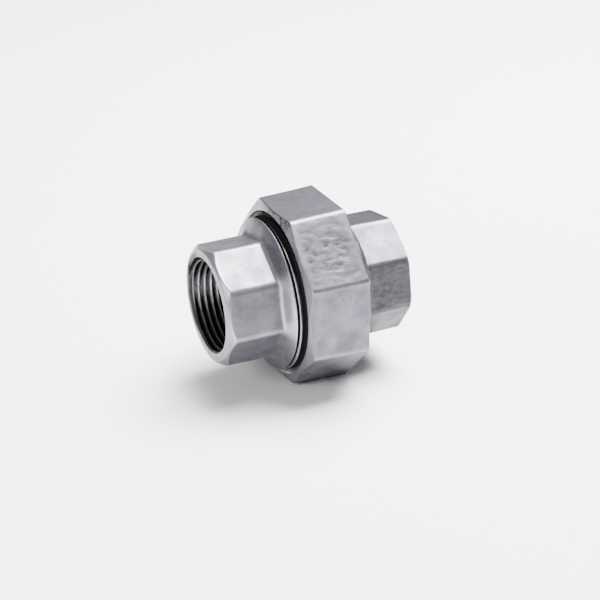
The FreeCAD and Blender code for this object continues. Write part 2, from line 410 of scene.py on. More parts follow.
@dataclass(frozen=True)
class ZincSkin:
    """Hot-dip galvanised casting: satin, mottled, bright on its edges.

    Args:
        name: Name of the material.
        clean: Brightness of clean zinc.
        dull: Brightness of its dull patches.
        grain: Depth of the sand's grain.
        streaks: How far the grime and painted shade are broken into streaks.
    """

    name: str
    clean: float = 0.165
    dull: float = 0.115
    grain: float = 0.012
    streaks: float = 0.2

    def build(self) -> bpy.types.Material:
        """Build the node tree.

        Returns:
            The material.
        """
        graph = Graph(self.name)
        patches = graph.span(graph.noise(6.0, 5.0), 0.38, 0.62)
        specks = graph.span(graph.noise(0.8, 3.0), 0.44, 0.30)
        crystals = graph.node("TexVoronoi", {"Vector": graph.place, "Scale": 0.6}).outputs["Color"]
        fine = graph.noise(0.5, 3.0)
        tone = graph.mix(patches, grey(self.dull, 0.13), grey(self.clean, 0.11))
        tone = graph.mix(graph.sum("MULTIPLY", specks, 0.35), tone, grey(self.dull * 0.6, 0.1))
        tone = graph.mix(0.06, tone, crystals, "OVERLAY")
        dirt_and_shade = graph.streaky(0.8, self.streaks)
        # painted shade: the stored grime and shade darken the zinc to near black
        tone = graph.mix(dirt_and_shade, tone, grey(0.02, 0.05))
        # worn edges lighten the zinc, and so does the painted highlight on the head's flare
        tone = graph.mix(graph.stored("wear_and_highlight", 0.75), tone, grey(0.42, 0.10))
        satin = graph.span(patches, 0.0, 1.0, 0.44, 0.36)
        rough = graph.sum("ADD", satin, graph.span(fine, 0.3, 0.7, -0.03, 0.04))
        rough = graph.sum("SUBTRACT", rough, graph.stored("wear_and_highlight", 0.06))
        normal = graph.bump(fine, self.grain, graph.bump(graph.noise(2.4, 2.0), 0.05))
        return graph.metal(0.9, dirt_and_shade, {"Base Color": tone, "Roughness": rough, "Normal": normal})


@dataclass(frozen=True)
class TurnedFace:
    """A face turned on a lathe, with fine rings round the axis.

    Args:
        name: Name of the material.
        level: Brightness of the metal.
        ring: Width of a tool mark.
    """

    name: str
    level: float = 0.15
    ring: float = 0.25

    def build(self) -> bpy.types.Material:
        """Build the node tree.

        Returns:
            The material.
        """
        graph = Graph(self.name)
        inputs = {"Vector": graph.place, "Scale": 0.314 / self.ring, "Distortion": 0.6, "Detail": 1.0}
        rings = graph.node("TexWave", inputs, wave_type="RINGS", rings_direction="X").outputs["Fac"]
        patches = graph.span(graph.noise(3.0, 4.0), 0.36, 0.64)
        tone = graph.mix(patches, grey(self.level * 0.78, 0.08), grey(self.level, 0.07))
        tone = graph.mix(graph.sum("MULTIPLY", rings, 0.12), tone, grey(self.level * 0.6, 0.03))
        dirt_and_shade = graph.stored("grime_and_shade")
        # painted shade: the stored grime and shade darken the turned metal to near black
        tone = graph.mix(dirt_and_shade, tone, grey(0.01, 0.03))
        tone = graph.mix(graph.stored("wear_and_highlight", 0.6), tone, grey(0.33, 0.04))
        rough = graph.span(patches, 0.0, 1.0, 0.42, 0.33)
        normal = graph.bump(rings, 0.008)
        return graph.metal(0.95, dirt_and_shade, {"Base Color": tone, "Roughness": rough, "Normal": normal})


@dataclass(frozen=True)
class CutThread:
    """A cut thread, dark in its oiled roots, light on its crests where painted light is stored, and near black
    where painted shade is stored.

    Args:
        name: Name of the material.
        crest: Brightness of the crests.
        root: Brightness of the roots.
    """

    name: str
    crest: float = 0.5
    root: float = 0.006

    def build(self) -> bpy.types.Material:
        """Build the node tree.

        Returns:
            The material.
        """
        graph = Graph(self.name)
        streaks = graph.span(graph.noise(1.6, 4.0), 0.34, 0.66)
        dirt_and_shade = graph.stored("grime_and_shade")
        # painted light and shade: crest colour where painted light is stored, root colour in oiled roots and
        # painted shade
        tone = graph.mix(dirt_and_shade, grey(self.crest, 0.04), grey(self.root, 0.04))
        tone = graph.mix(graph.sum("MULTIPLY", streaks, 0.3), tone, grey(self.root * 1.5, 0.03))
        rough = graph.span(streaks, 0.0, 1.0, 0.28, 0.44)
        normal = graph.bump(graph.noise(0.3, 2.0), 0.006)
        return graph.metal(0.9, dirt_and_shade, {"Base Color": tone, "Roughness": rough, "Normal": normal})


@dataclass(frozen=True)
class FibreSheet:
    """Compressed fibre jointing: matt, with short pale fibres in it."""

    name: str = "gasket_fibre"

    def build(self) -> bpy.types.Material:
        """Build the node tree.

        Returns:
            The material.
        """
        graph = Graph(self.name)
        fibres = graph.noise(0.5, 5.0, 1.6)
        flecks = graph.span(fibres, 0.54, 0.66)
        tone = graph.mix(flecks, (0.05, 0.065, 0.055, 1.0), (0.17, 0.19, 0.16, 1.0))
        tone = graph.mix(graph.stored("wear_and_highlight", 0.5), tone, (0.02, 0.025, 0.022, 1.0))
        rough = graph.span(fibres, 0.3, 0.7, 0.70, 0.90)
        return graph.finish({"Base Color": tone, "Roughness": rough, "Normal": graph.bump(fibres, 0.05)})


@dataclass(frozen=True)
class StudioPaper:
    """Matt white background paper.

    Args:
        name: Name of the material.
        level: Brightness of the paper.
    """

    name: str = "studio_paper"
    level: float = 0.92

    def build(self) -> bpy.types.Material:
        """Build the node tree.

        Returns:
            The material.
        """
        graph = Graph(self.name)
        clouds = graph.noise(60.0, 2.0)
        tone = graph.mix(clouds, grey(self.level, 0.0), grey(self.level * 0.985, 0.004))
        rough = graph.span(clouds, 0.3, 0.7, 0.85, 0.92)
        return graph.finish({"Base Color": tone, "Roughness": rough, "Normal": graph.bump(graph.noise(0.8), 0.01)})


@dataclass(kw_only=True)
class TurnedPiece:
    """A piece of the union, spun about the bore's axis and then pressed to its finished shape.

    Args:
        name: Name of the piece.
        node: CAD node that it stands for.
        body: CAD body that it rides on.
        slot: Slot of the record that its finish goes by; not used.
        finishes: Material of each zone.
        steps: Vertices in each ring.
        section: Octagon whose corners get more of those vertices.
        left: The end that is further to -X.
        right: The end that is further to +X.
    """

    name: str
    node: str
    body: str
    slot: str
    finishes: dict[Zone, bpy.types.Material]
    steps: int = 320
    section: Octagon | None = None
    left: float = field(init=False)
    right: float = field(init=False)

    def __post_init__(self) -> None:
        """Take the ends of the piece from the frame."""
        low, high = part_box(self.node)
        self.left = low.x / MM
        self.right = high.x / MM

    def outline(self) -> list[Stretch]:
        """The closed outline that the piece is spun from."""
        raise NotImplementedError

    def surface(self, zone: Zone, x: float, r: float, angle: float) -> Pressed:
        """Where the finished surface is.

        Args:
            zone: How the surface was made.
            x: Place along the axis.
            r: Radius of the outline there.
            angle: Angle round the axis, from upright towards the front.

        Returns:
            The finished radius, wear with painted highlight, and grime with painted shade and painted light.
        """
        raise NotImplementedError

    def spin(self, outline: list[Stretch]) -> bmesh.types.BMesh:
        """Spin the outline into a closed mesh.

        Args:
            outline: The outline, closed from its last point to its first.

        Returns:
            The mesh, with the place of its stretch in the outline stored on each vertex.
        """
        mesh = bmesh.new()
        stretch = mesh.verts.layers.int.new("stretch")
        corners = [mesh.verts.new((point.x, 0.0, point.r)) for point in outline]
        for index, point in enumerate(outline):
            vert, end = corners[index], corners[(index + 1) % len(outline)]
            vert[stretch] = index
            edge = mesh.edges.new((vert, end))
            for parts in range(math.ceil(edge.calc_length() / point.step), 1, -1):
                vert = bmesh.utils.edge_split(edge, vert, 1 / parts)[1]
                vert[stretch] = index
                edge = next(link for link in vert.link_edges if end in link.verts)
        bmesh.ops.spin(
            mesh, geom=mesh.verts[:] + mesh.edges[:], cent=(0, 0, 0), axis=(1, 0, 0), dvec=(0, 0, 0),
            angle=math.tau, steps=self.steps, use_merge=True, use_duplicate=False,
        )
        return mesh

    def gathered(self, angle: float) -> float:
        """Move an angle towards the nearest corner, so that the corners get more vertices.

        Args:
            angle: An angle of the spin's even spacing.

        Returns:
            The angle to use.
        """
        if self.section is None:
            return angle
        off = math.radians((angle - self.section.turn - SIDE / 2) * 360.0 / SIDE)
        return angle - 0.5 * math.sin(off) * SIDE / math.tau

    def press(self, mesh: bmesh.types.BMesh, outline: list[Stretch]) -> None:
        """Move each vertex to the finished surface, and store its wear with painted highlight, and its grime with
        painted shade and painted light.

        Args:
            mesh: The spun mesh.
            outline: The outline that it was spun from.
        """
        stretch = mesh.verts.layers.int["stretch"]
        # both layers carry painted light: wear holds a painted highlight, and grime holds painted shade, lowered
        # where painted light falls
        wear_and_highlight = mesh.verts.layers.float.new("wear_and_highlight")
        grime_and_shade = mesh.verts.layers.float.new("grime_and_shade")
        for vert in mesh.verts:
            x, y, z = vert.co
            angle = self.gathered(math.degrees(math.atan2(-y, z)))
            r, vert[wear_and_highlight], vert[grime_and_shade] = self.surface(outline[vert[stretch]].zone, x, math.hypot(y, z), angle)
            turn = math.radians(angle)
            vert.co = (x, -r * math.sin(turn), r * math.cos(turn))

    def dress(self, mesh: bmesh.types.BMesh, outline: list[Stretch]) -> None:
        """Give each face its zone's material, and shade it smooth up to the sharp edges.

        Args:
            mesh: The pressed mesh.
            outline: The outline that it was spun from.
        """
        stretch = mesh.verts.layers.int["stretch"]
        slots = list(self.finishes)
        last = len(outline) - 1
        for face in mesh.faces:
            touched = {vert[stretch] for vert in face.verts}
            index = last if touched == {0, last} else min(touched)
            face.material_index = slots.index(outline[index].zone)
            face.smooth = True
        for edge in mesh.edges:
            edge.smooth = edge.calc_face_angle(0.0) < math.radians(SHARP)

    def build(self) -> bpy.types.Object:
        """Make the piece, dress it and hang it on its body.

        Returns:
            The finished object.
        """
        outline = self.outline()
        mesh = self.spin(outline)
        self.press(mesh, outline)
        bmesh.ops.recalc_face_normals(mesh, faces=mesh.faces[:])
        self.dress(mesh, outline)
        bmesh.ops.transform(mesh, matrix=Matrix.Scale(MM, 4), verts=mesh.verts[:])
        data = bpy.data.meshes.new(self.name)
        for material in self.finishes.values():
            data.materials.append(material)
        mesh.to_mesh(data)
        mesh.free()
        piece = bpy.data.objects.new(self.name, data)
        bpy.context.scene.collection.objects.link(piece)
        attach(piece, self.body)
        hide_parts(self.node)
        log.info("%s: %d faces on body %s", self.name, len(data.polygons), self.body)
        return piece


@dataclass(kw_only=True)
class PipeEnd(TurnedPiece):
    """What the head end and the tail end share: an octagonal casting round a threaded waterway.

    Args:
        rim: Radius of the flat ring round the mouth.
        chamfer: Length of the turned chamfer, along the axis, at the octagon's corners.
        thread: The pipe thread.
        thread_length: Length of the pipe thread, from the free end.
        run_out: Length of the slope behind the thread.
        mouth: Radius of the countersunk mouth.
        countersink: Fall of the mouth's radius for each millimetre of depth.
        edge: Rounding of the free end's edge.
        draft: Slope of the flats.
        waterway: Radius of the cored hole behind the thread.
        hollows: Depth of the casting's hollows.
        flat_shade: How dark the painted shade is on the flats further below the upper front corner.
        shaded_span: Angle that this painted shade covers.
    """

    rim: float
    chamfer: float
    thread: PipeThread = PipeThread()
    thread_length: float = 16.5
    run_out: float = 0.56
    mouth: float = 13.31
    countersink: float = 1.8
    edge: float = 0.3
    draft: float = 0.45
    waterway: float = 11.5
    hollows: float = 0.16
    flat_shade: float = 0.42
    shaded_span: float = 45.0

    @property
    def free_end(self) -> float:
        """Place of the free end."""
        raise NotImplementedError

    def surface(self, zone: Zone, x: float, r: float, angle: float) -> Pressed:
        """The surface of either end.

        Args:
            zone: How the surface was made.
            x: Place along the axis.
            r: Radius of the outline there.
            angle: Angle round the axis, from upright towards the front.

        Returns:
            The finished radius, wear with painted highlight, and grime with painted shade and painted light.
        """
        if zone == Zone.PIPE_THREAD:
            return self.bore(x, angle)
        if zone == Zone.CAST:
            return r - 0.08 * relief(x, r, angle, size=3.0, seed=5.0), 0.0, 0.5
        if zone == Zone.SKIN:
            return self.skin(x, r, angle)
        if abs(x - self.free_end) < self.chamfer:
            return self.ring(x, r, angle)
        return r, 0.0, self.joint_grime_and_shade(x)

    def skin(self, x: float, r: float, angle: float) -> Pressed:
        """The galvanised skin, which each end shapes for itself."""
        raise NotImplementedError

    def joint_grime_and_shade(self, x: float) -> float:
        """How dark the turned faces at the joint are, from grime and painted shade."""
        raise NotImplementedError

    def bore(self, x: float, angle: float) -> Pressed:
        """The threaded bore with its countersink and its run-out.

        Args:
            x: Place along the axis.
            angle: Angle round the axis, from upright towards the front.

        Returns:
            The finished radius, no wear, and grime: oiled roots, painted shade in the bore and its countersink,
                and painted light on the far wall near the mouth.
        """
        depth = abs(x - self.free_end)
        full = fade(depth, self.thread_length + 0.3, self.thread_length - 2.0)
        groove = self.thread.groove(x, angle)
        wall = self.thread.crest + self.thread.depth * groove * full
        behind = self.waterway + max(self.thread_length + self.run_out - depth, 0.0)
        cone = self.mouth - self.countersink * depth
        r = smooth_max(min(wall, behind), cone, 0.15)
        # painted shade in the countersink
        countersink_shade = fade(cone - wall, -0.2, 0.1)
        # painted light: the far wall near the mouth stays light
        lit_side = hump(facing_away(angle) + 2.0, 20.0) * fade(depth, 12.0, 6.0)
        # the rest of the bore is dark, partly from oiled roots, partly painted shade
        return r, 0.0, max(min(1.0, 0.85 - 0.85 * lit_side + 0.6 * groove), 0.96 * countersink_shade)

    def ring(self, x: float, r: float, angle: float) -> Pressed:
        """The flat ring round the mouth, a little dulled all round, with painted shade on its far side."""
        # painted shade on the far side of the ring
        far_shade = fade(abs(facing_away(angle) - 5.0), 78.0, 48.0)
        return r, 0.0, max(0.35, far_shade) * (0.8 + 0.2 * relief(x, r, angle, size=4.0, seed=11.0))

    def shaded_flats(self, angle: float, uneven: float) -> float:
        """Painted shade on the skin: a dark band just below the upper front corner, and lighter shade on the flats
        further down.

        Args:
            angle: Angle round the axis, from upright towards the front.
            uneven: How deep in a hollow of the skin that is, from 0 to 1.

        Returns:
            How dark the painted shade is, from 0 to 1.
        """
        past = angle % 360.0 - self.section.turn - 1.5 * SIDE
        # painted shade: a dark band just below the upper front corner
        corner_shade = 0.55 * fade(past, 13.0, 1.0)
        # painted shade on the front and lower flats
        flat_shade = self.flat_shade * fade(past, self.shaded_span + 2.0, self.shaded_span - 4.0)
        return max(corner_shade, flat_shade) * (0.5 + 0.5 * uneven) * fade(past, -3.0, 0.0)

    def casting(self, x: float, angle: float, from_big_end: float) -> Pressed:
        """The octagon with its turned chamfer.

        Args:
            x: Place along the axis.
            angle: Angle round the axis.
            from_big_end: Distance from the octagon's largest end.

        Returns:
            The finished radius, wear, and painted shade.
        """
        depth = abs(x - self.free_end)
        flat = self.section.flat - math.tan(math.radians(self.draft)) * from_big_end
        wide = relief(x, flat, angle, size=7.0, seed=3.0)
        narrow = relief(x, flat, angle, size=2.3, seed=8.0)
        uneven = wide * 0.7 + narrow * 0.3
        sides = self.section.radius(angle, flat) - self.hollows * uneven * fade(depth, 0.0, 1.5)
        cone = self.rim + depth * (self.section.flat / FLAT_SHARE - self.rim) / self.chamfer
        facing = fade(sides - cone, -0.25, 0.1)
        shaded_flats = self.shaded_flats(angle, uneven) * (1 - facing)
        ridge = hump(self.section.from_corner(angle), 2.2) * (0.4 + 0.6 * uneven)
        worn_and_lit = max(0.5 * ridge * (1 - shaded_flats), 0.3 * facing, 0.9 * hump(sides - cone, 0.4))
        # painted shade on the top of the turned chamfer
        smudge_and_shade = 0.7 * facing * fade(abs(angle), 34.0, 20.0) * uneven
        painted_shade = max(shaded_flats, smudge_and_shade)
        return smooth_min(sides, cone, 0.35) - lip(depth, self.edge), worn_and_lit * (1 - painted_shade), painted_shade

    def free_end_outline(self, inward: int) -> list[Stretch]:
        """The free end from the cored hole's end, through the bore, to the chamfered skin.

        Args:
            inward: 1 where the inside of the piece lies to +X of its free end, -1 where it lies to -X.

        Returns:
            The stretches, in that order.
        """
        end = self.free_end
        bottom = end + inward * (self.thread_length + self.run_out)
        fine = end + inward * self.edge
        return [
            Stretch(bottom, self.waterway, Zone.PIPE_THREAD, 0.15),
            Stretch(end, self.mouth, Zone.TURNED, 0.75),
            Stretch(end, self.rim - self.edge, Zone.SKIN, 0.075),
            Stretch(fine, self.rim, Zone.SKIN, 0.14),
            Stretch(end + inward * (self.chamfer + 0.5), self.section.flat, Zone.SKIN, 0.6),
        ]


@dataclass(kw_only=True)
class HeadEnd(PipeEnd):
    """The head end: its octagon flares out to a spigot, threaded for the nut, with a flat seat.

    Args:
        union: The thread on the spigot.
        spigot: Length from the flare to the seat.
        flare_rim: Radius of the flare's rim.
        flare_land: Width of the flare's rim.
        flare_slope: Slope of the flare.
        undercut: Width of the groove between flare and thread.
        seat_chamfer: Chamfer at the seat.
    """

    union: UnionThread
    spigot: float = 10.0
    flare_rim: float = 20.8
    flare_land: float = 0.4
    flare_slope: float = 62.0
    undercut: float = 0.6
    seat_chamfer: float = 0.8

    @property
    def free_end(self) -> float:
        """Place of the free end."""
        return self.left

    @property
    def flare_back(self) -> float:
        """Place of the flare's back, which is the start of the spigot."""
        return self.right - self.spigot

    def outline(self) -> list[Stretch]:
        """Draw the outline, from the cored hole round the free end to the seat.

        Returns:
            The closed outline.
        """
        flare = self.flare_back
        root = self.union.nut_crest - 2 * self.union.play
        thread = flare + self.undercut
        return [
            *self.free_end_outline(1),
            Stretch(flare - 5.0, self.section.flat, Zone.SKIN, 0.15),
            Stretch(flare - self.flare_land, self.flare_rim, Zone.SKIN, 0.08),
            Stretch(flare, self.flare_rim - 0.2, Zone.TURNED, 0.4),
            Stretch(flare, root, Zone.TURNED, 0.3),
            Stretch(thread, root, Zone.TURNED, 0.6),
            Stretch(thread, self.union.crest, Zone.UNION_THREAD, 0.14),
            Stretch(self.right, self.union.crest - self.seat_chamfer, Zone.TURNED, 1.2),
            Stretch(self.right, self.waterway + 0.2, Zone.CAST, 0.4),
            Stretch(self.right - 0.2, self.waterway, Zone.CAST, 0.9),
        ]

    def surface(self, zone: Zone, x: float, r: float, angle: float) -> Pressed:
        """The head end's surface.

        Args:
            zone: How the surface was made.
            x: Place along the axis.
            r: Radius of the outline there.
            angle: Angle round the axis, from upright towards the front.

        Returns:
            The finished radius, wear with painted highlight, and grime with painted shade and painted light.
        """
        if zone == Zone.UNION_THREAD:
            return self.spigot_thread(x, angle)
        return super().surface(zone, x, r, angle)

    def spigot_thread(self, x: float, angle: float) -> Pressed:
        """The thread on the spigot, dark in its roots, with painted light on its front crests, and painted shade
        on the rest and where the nut covers it.

        Args:
            x: Place along the axis.
            angle: Angle round the axis, from upright towards the front.

        Returns:
            The finished radius, no wear, and grime with painted shade and painted light.
        """
        wall = self.union.spigot(x, angle)
        chamfer = self.union.crest - self.seat_chamfer + self.right - x
        start = lip(x - self.flare_back - self.undercut, 0.15)
        deep = (self.union.crest - wall) / self.union.depth
        # painted light: crests facing the front stay light
        lit_side = hump(facing_away(angle + 180.0) + 8.0, 38.0)
        # painted shade where the nut covers the thread
        nut_shade = fade(x - self.flare_back, 1.3, 1.8)
        return min(wall - start, chamfer), 0.0, max(min(1.0, 0.6 * deep + 0.85 * (1 - lit_side)), nut_shade)

    def joint_grime_and_shade(self, x: float) -> float:
        """Painted shade in the undercut: all of it, and neither the flare's rim nor the seat."""
        return fade(x, self.flare_back - 0.1, self.flare_back) * fade(x, self.right - 1, self.right - 2)

    def skin(self, x: float, r: float, angle: float) -> Pressed:
        """The octagon and its flare, which starts in facets, with painted light on the flare's front and painted
        shade on its top.

        Args:
            x: Place along the axis.
            r: Radius of the outline there.
            angle: Angle round the axis, from upright towards the front.

        Returns:
            The finished radius, wear with a painted highlight on the flare's front, and grime with painted shade.
        """
        big_end = self.flare_back - self.flare_land
        body, worn_and_lit, painted_shade = self.casting(x, angle, big_end - x)
        cone = self.flare_rim - math.tan(math.radians(self.flare_slope)) * (big_end - x)
        facets = self.section.radius(angle, max(cone, self.section.flat) * FLAT_SHARE)
        flare = cone + (facets - cone) * 0.8 * fade(cone, self.flare_rim - 0.6, self.section.flat + 1.4)
        flare -= 0.5 * self.hollows * relief(x, self.flare_rim, angle, size=4.0, seed=2.0)
        joined = smooth_min(smooth_max(body, flare, 1.5), self.flare_rim, 0.35)
        # painted shade in the crease between the flats and the flare
        crease_shade = hump(body - flare, 1.3) * (0.35 + 0.65 * relief(x, r, angle, size=5.0, seed=9.0))
        on_flare = fade(flare - body, -0.5, 0.5)
        # painted highlight: the front of the flare is lightened
        lit_side = fade(angle, 48.0, 64.0) * fade(angle, 108.0, 94.0)
        # painted shade: dark patches at the top, beside the top flat
        top_shade = fade(angle, 22.0, 5.0) * relief(x, r, angle, size=3.0, seed=6.0)
        # painted shade over the top of the flare
        flare_shade = fade(angle, 62.0, 48.0) * (0.35 + 0.4 * top_shade)
        # the flare's painted highlight is carried with the wear
        worn_and_lit = max(worn_and_lit * (1 - on_flare), on_flare * lit_side)
        grime_and_shade = max(0.7 * crease_shade * (1 - 0.8 * lit_side), painted_shade * (1 - on_flare), on_flare * flare_shade)
        return joined - lip(self.flare_back - x, 0.2), worn_and_lit, grime_and_shade


@dataclass(kw_only=True)
class TailEnd(PipeEnd):
    """The tail end: an octagon behind a round collar, which the nut pulls against the gasket.

    Args:
        collar: Radius of the collar.
        collar_length: Length of the collar.
        collar_chamfer: Chamfer of the collar's rim.
        neck: Radius of the round neck behind the collar.
        neck_length: Length of the neck.
        neck_slope: Slope from the neck down to the flats.
    """

    collar: float = 19.52
    collar_length: float = 3.5
    collar_chamfer: float = 0.4
    neck: float = 17.41
    neck_length: float = 7.6
    neck_slope: float = 70.0
    # the tail's front and lower flats get darker painted shade
    flat_shade: float = 0.95
    shaded_span: float = 90.0

    @property
    def free_end(self) -> float:
        """Place of the free end."""
        return self.right

    @property
    def neck_end(self) -> float:
        """Place where the neck starts to fall away to the flats."""
        return self.left + self.collar_length + self.neck_length

    def outline(self) -> list[Stretch]:
        """Draw the outline, from the cored hole round the free end to the seat.

        Returns:
            The closed outline.
        """
        back = self.left + self.collar_length
        return [
            *self.free_end_outline(-1),
            Stretch(self.neck_end + 3.0, self.section.flat, Zone.SKIN, 0.2),
            Stretch(self.neck_end - 1.0, self.neck, Zone.SKIN, 0.7),
            Stretch(back + 1.5, self.neck, Zone.TURNED, 0.8),
            Stretch(back, self.neck, Zone.TURNED, 0.8),
            Stretch(back, self.collar - 0.15, Zone.TURNED, 0.3),
            Stretch(back - 0.15, self.collar, Zone.TURNED, 1.0),
            Stretch(self.left + self.collar_chamfer, self.collar, Zone.TURNED, 0.6),
            Stretch(self.left, self.collar - self.collar_chamfer, Zone.TURNED, 1.2),
            Stretch(self.left, self.waterway + 0.2, Zone.CAST, 0.4),
            Stretch(self.left + 0.2, self.waterway, Zone.CAST, 0.6),
        ]

    def joint_grime_and_shade(self, x: float) -> float:
        """How dirty the collar and the neck are, with a clean seat."""
        return 0.25 * fade(x, self.left + 1, self.left + 2)

    def skin(self, x: float, r: float, angle: float) -> Pressed:
        """The octagon and the neck that it grows out of.

        Args:
            x: Place along the axis.
            r: Radius of the outline there.
            angle: Angle round the axis, from upright towards the front.

        Returns:
            The finished radius, wear, and grime with painted shade.
        """
        past = x - self.neck_end
        body, worn_and_lit, painted_shade = self.casting(x, angle, past)
        neck = self.neck - smooth_max(past, 0.0, 0.8) * math.tan(math.radians(self.neck_slope))
        neck -= 0.5 * self.hollows * relief(x, self.neck, angle, size=3.0, seed=2.0)
        on_neck = fade(neck - body, -0.3, 0.3)
        # painted shade in the crease between the flats and the neck
        crease_shade = hump(body - neck, 0.5) * relief(x, r, angle, size=4.0, seed=9.0)
        grime_and_shade = max(0.5 * crease_shade, painted_shade * (1 - on_neck))
        return min(smooth_max(body, neck, 0.9), self.neck), worn_and_lit * (1 - on_neck), grime_and_shade


@dataclass(kw_only=True)
class UnionNut(TurnedPiece):
    """The union nut: a drafted octagon, threaded at the front, with a shoulder at the back.

    Args:
        union: The thread, shared with the spigot.
        draft: Slope of the flats.
        mouth: Radius of the sharp front ring.
        facing: Slope of the turned front.
        lead_in: Fall of the mouth's radius for each millimetre of depth.
        thread_length: Length from the front to the end of the thread.
        recess: Radius of the recess behind the thread.
        shoulder: Thickness of the shoulder.
        hole: Radius of the hole in the shoulder.
        back_edge: Rounding of the back edge.
        hollows: Depth of the casting's hollows.
        mark_depth: Depth of the rough casting marks.
        rough_flat: Middle of the flat that has them.
    """

    union: UnionThread
    draft: float = 2.54
    mouth: float = 22.6
    facing: float = 19.0
    lead_in: float = 2.0
    thread_length: float = 8.6
    recess: float = 21.27
    shoulder: float = 3.4
    hole: float = 17.71
    back_edge: float = 0.6
    hollows: float = 0.16
    mark_depth: float = 0.22
    rough_flat: float = 45.0

    def outline(self) -> list[Stretch]:
        """Draw the outline, from the sharp front ring over the skin and back through the hole.

        Returns:
            The closed outline.
        """
        front, back = self.left, self.right
        slope = math.tan(math.radians(self.facing))
        corner_end = front + (self.section.flat / FLAT_SHARE - self.mouth) * slope
        crest = self.union.nut_crest
        thread_end = front + self.thread_length
        return [
            Stretch(front, self.mouth, Zone.SKIN, 0.07),
            Stretch(corner_end, self.section.flat, Zone.SKIN, 0.55),
            Stretch(back - self.back_edge, self.section.flat, Zone.SKIN, 0.075),
            Stretch(back, self.section.flat, Zone.SKIN, 9.0),
            Stretch(back, self.section.flat - 1.4, Zone.CAST, 0.8),
            Stretch(back, self.hole + 0.35, Zone.CAST, 0.3),
            Stretch(back - 0.35, self.hole, Zone.CAST, 0.8),
            Stretch(back - self.shoulder, self.hole, Zone.TURNED, 1.0),
            Stretch(back - self.shoulder, self.recess, Zone.TURNED, 0.9),
            Stretch(thread_end + self.recess - crest, self.recess, Zone.TURNED, 0.4),
            Stretch(thread_end, crest, Zone.UNION_THREAD, 0.14),
        ]

    def surface(self, zone: Zone, x: float, r: float, angle: float) -> Pressed:
        """The nut's surface.

        Args:
            zone: How the surface was made.
            x: Place along the axis.
            r: Radius of the outline there.
            angle: Angle round the axis, from upright towards the front.

        Returns:
            The finished radius, wear, and grime with painted shade.
        """
        if zone == Zone.UNION_THREAD:
            return self.threaded(x, angle)
        if zone == Zone.TURNED:
            return r, 0.0, 0.35
        if zone == Zone.CAST:
            rough = relief(x, r, angle, size=3.0, seed=5.0)
            return (r + 0.1 * rough if r < self.hole + 0.1 else r), 0.0, 0.25 * rough
        return self.skin(x, angle)

    def threaded(self, x: float, angle: float) -> Pressed:
        """The thread, with a countersink at its front and a run-out at its back.

        Args:
            x: Place along the axis.
            angle: Angle round the axis, from upright towards the front.

        Returns:
            The finished radius, no wear, and grime: oiled roots and painted shade in the mouth.
        """
        wall = self.union.nut(x, angle)
        deep = (wall - self.union.nut_crest) / self.union.depth
        run_out = self.union.nut_crest + self.left + self.thread_length - x
        wall = max(smooth_min(wall, run_out, 0.1), self.union.nut_crest)
        cone = self.mouth - self.lead_in * (x - self.left)
        # the thread and its countersink are dark: partly oiled roots, partly painted shade in the gap behind the
        # mouth
        return smooth_max(wall, cone, 0.15), 0.0, min(1.0, 0.85 + 0.15 * deep)

    def skin(self, x: float, angle: float) -> Pressed:
        """The octagon with its turned front.

        Args:
            x: Place along the axis.
            angle: Angle round the axis, from upright towards the front.

        Returns:
            The finished radius, wear, and grime with painted shade on the top of the turned front.
        """
        from_front, from_back = x - self.left, self.right - x
        flat = self.section.flat - math.tan(math.radians(self.draft)) * from_back
        wide = relief(x, flat, angle, size=8.0, seed=4.0)
        narrow = relief(x, flat, angle, size=2.6, seed=6.0)
        uneven = wide * 0.75 + narrow * 0.25
        sides = self.section.radius(angle, flat) - self.hollows * uneven * fade(from_back, 0.0, 2.0)
        marks = self.marks(x, flat, angle)
        cone = self.mouth + from_front / math.tan(math.radians(self.facing))
        facing = fade(sides - cone, -0.3, 0.3)
        edges = lip(from_front, 0.12) + lip(from_back, self.back_edge)
        r = smooth_min(sides - self.mark_depth * marks, cone, 0.5) - edges
        ridge = hump(self.section.from_corner(angle), 1.8) * (0.4 + 0.6 * uneven)
        # dark patches on the top of the turned front: partly dirt, partly painted shade
        smudge_and_shade = 0.75 * facing * fade(abs(angle), 40.0, 20.0) * fade(uneven, 0.35, 0.65)
        worn_and_lit = max(0.5 * ridge * (1 - facing), 0.35 * facing - smudge_and_shade)
        return r, worn_and_lit, max(0.65 * marks * (1 - facing), smudge_and_shade)

    def marks(self, x: float, flat: float, angle: float) -> float:
        """The rough casting marks on one flat.

        Args:
            x: Place along the axis.
            flat: Distance from the axis to the flat.
            angle: Angle round the axis, from upright towards the front.

        Returns:
            Their depth, from 0 to 1 where they are deepest.
        """
        across = hump(angle - self.rough_flat, 19.0)
        along = fade(x, self.left + 1.5, self.left + 3.0) * fade(x, self.right - 1.0, self.right - 3.0)
        pits = fade(relief(x * 0.7, flat, angle, size=1.3, seed=12.0), 0.45, 0.70)
        return across * along * (0.55 + 0.45 * pits)


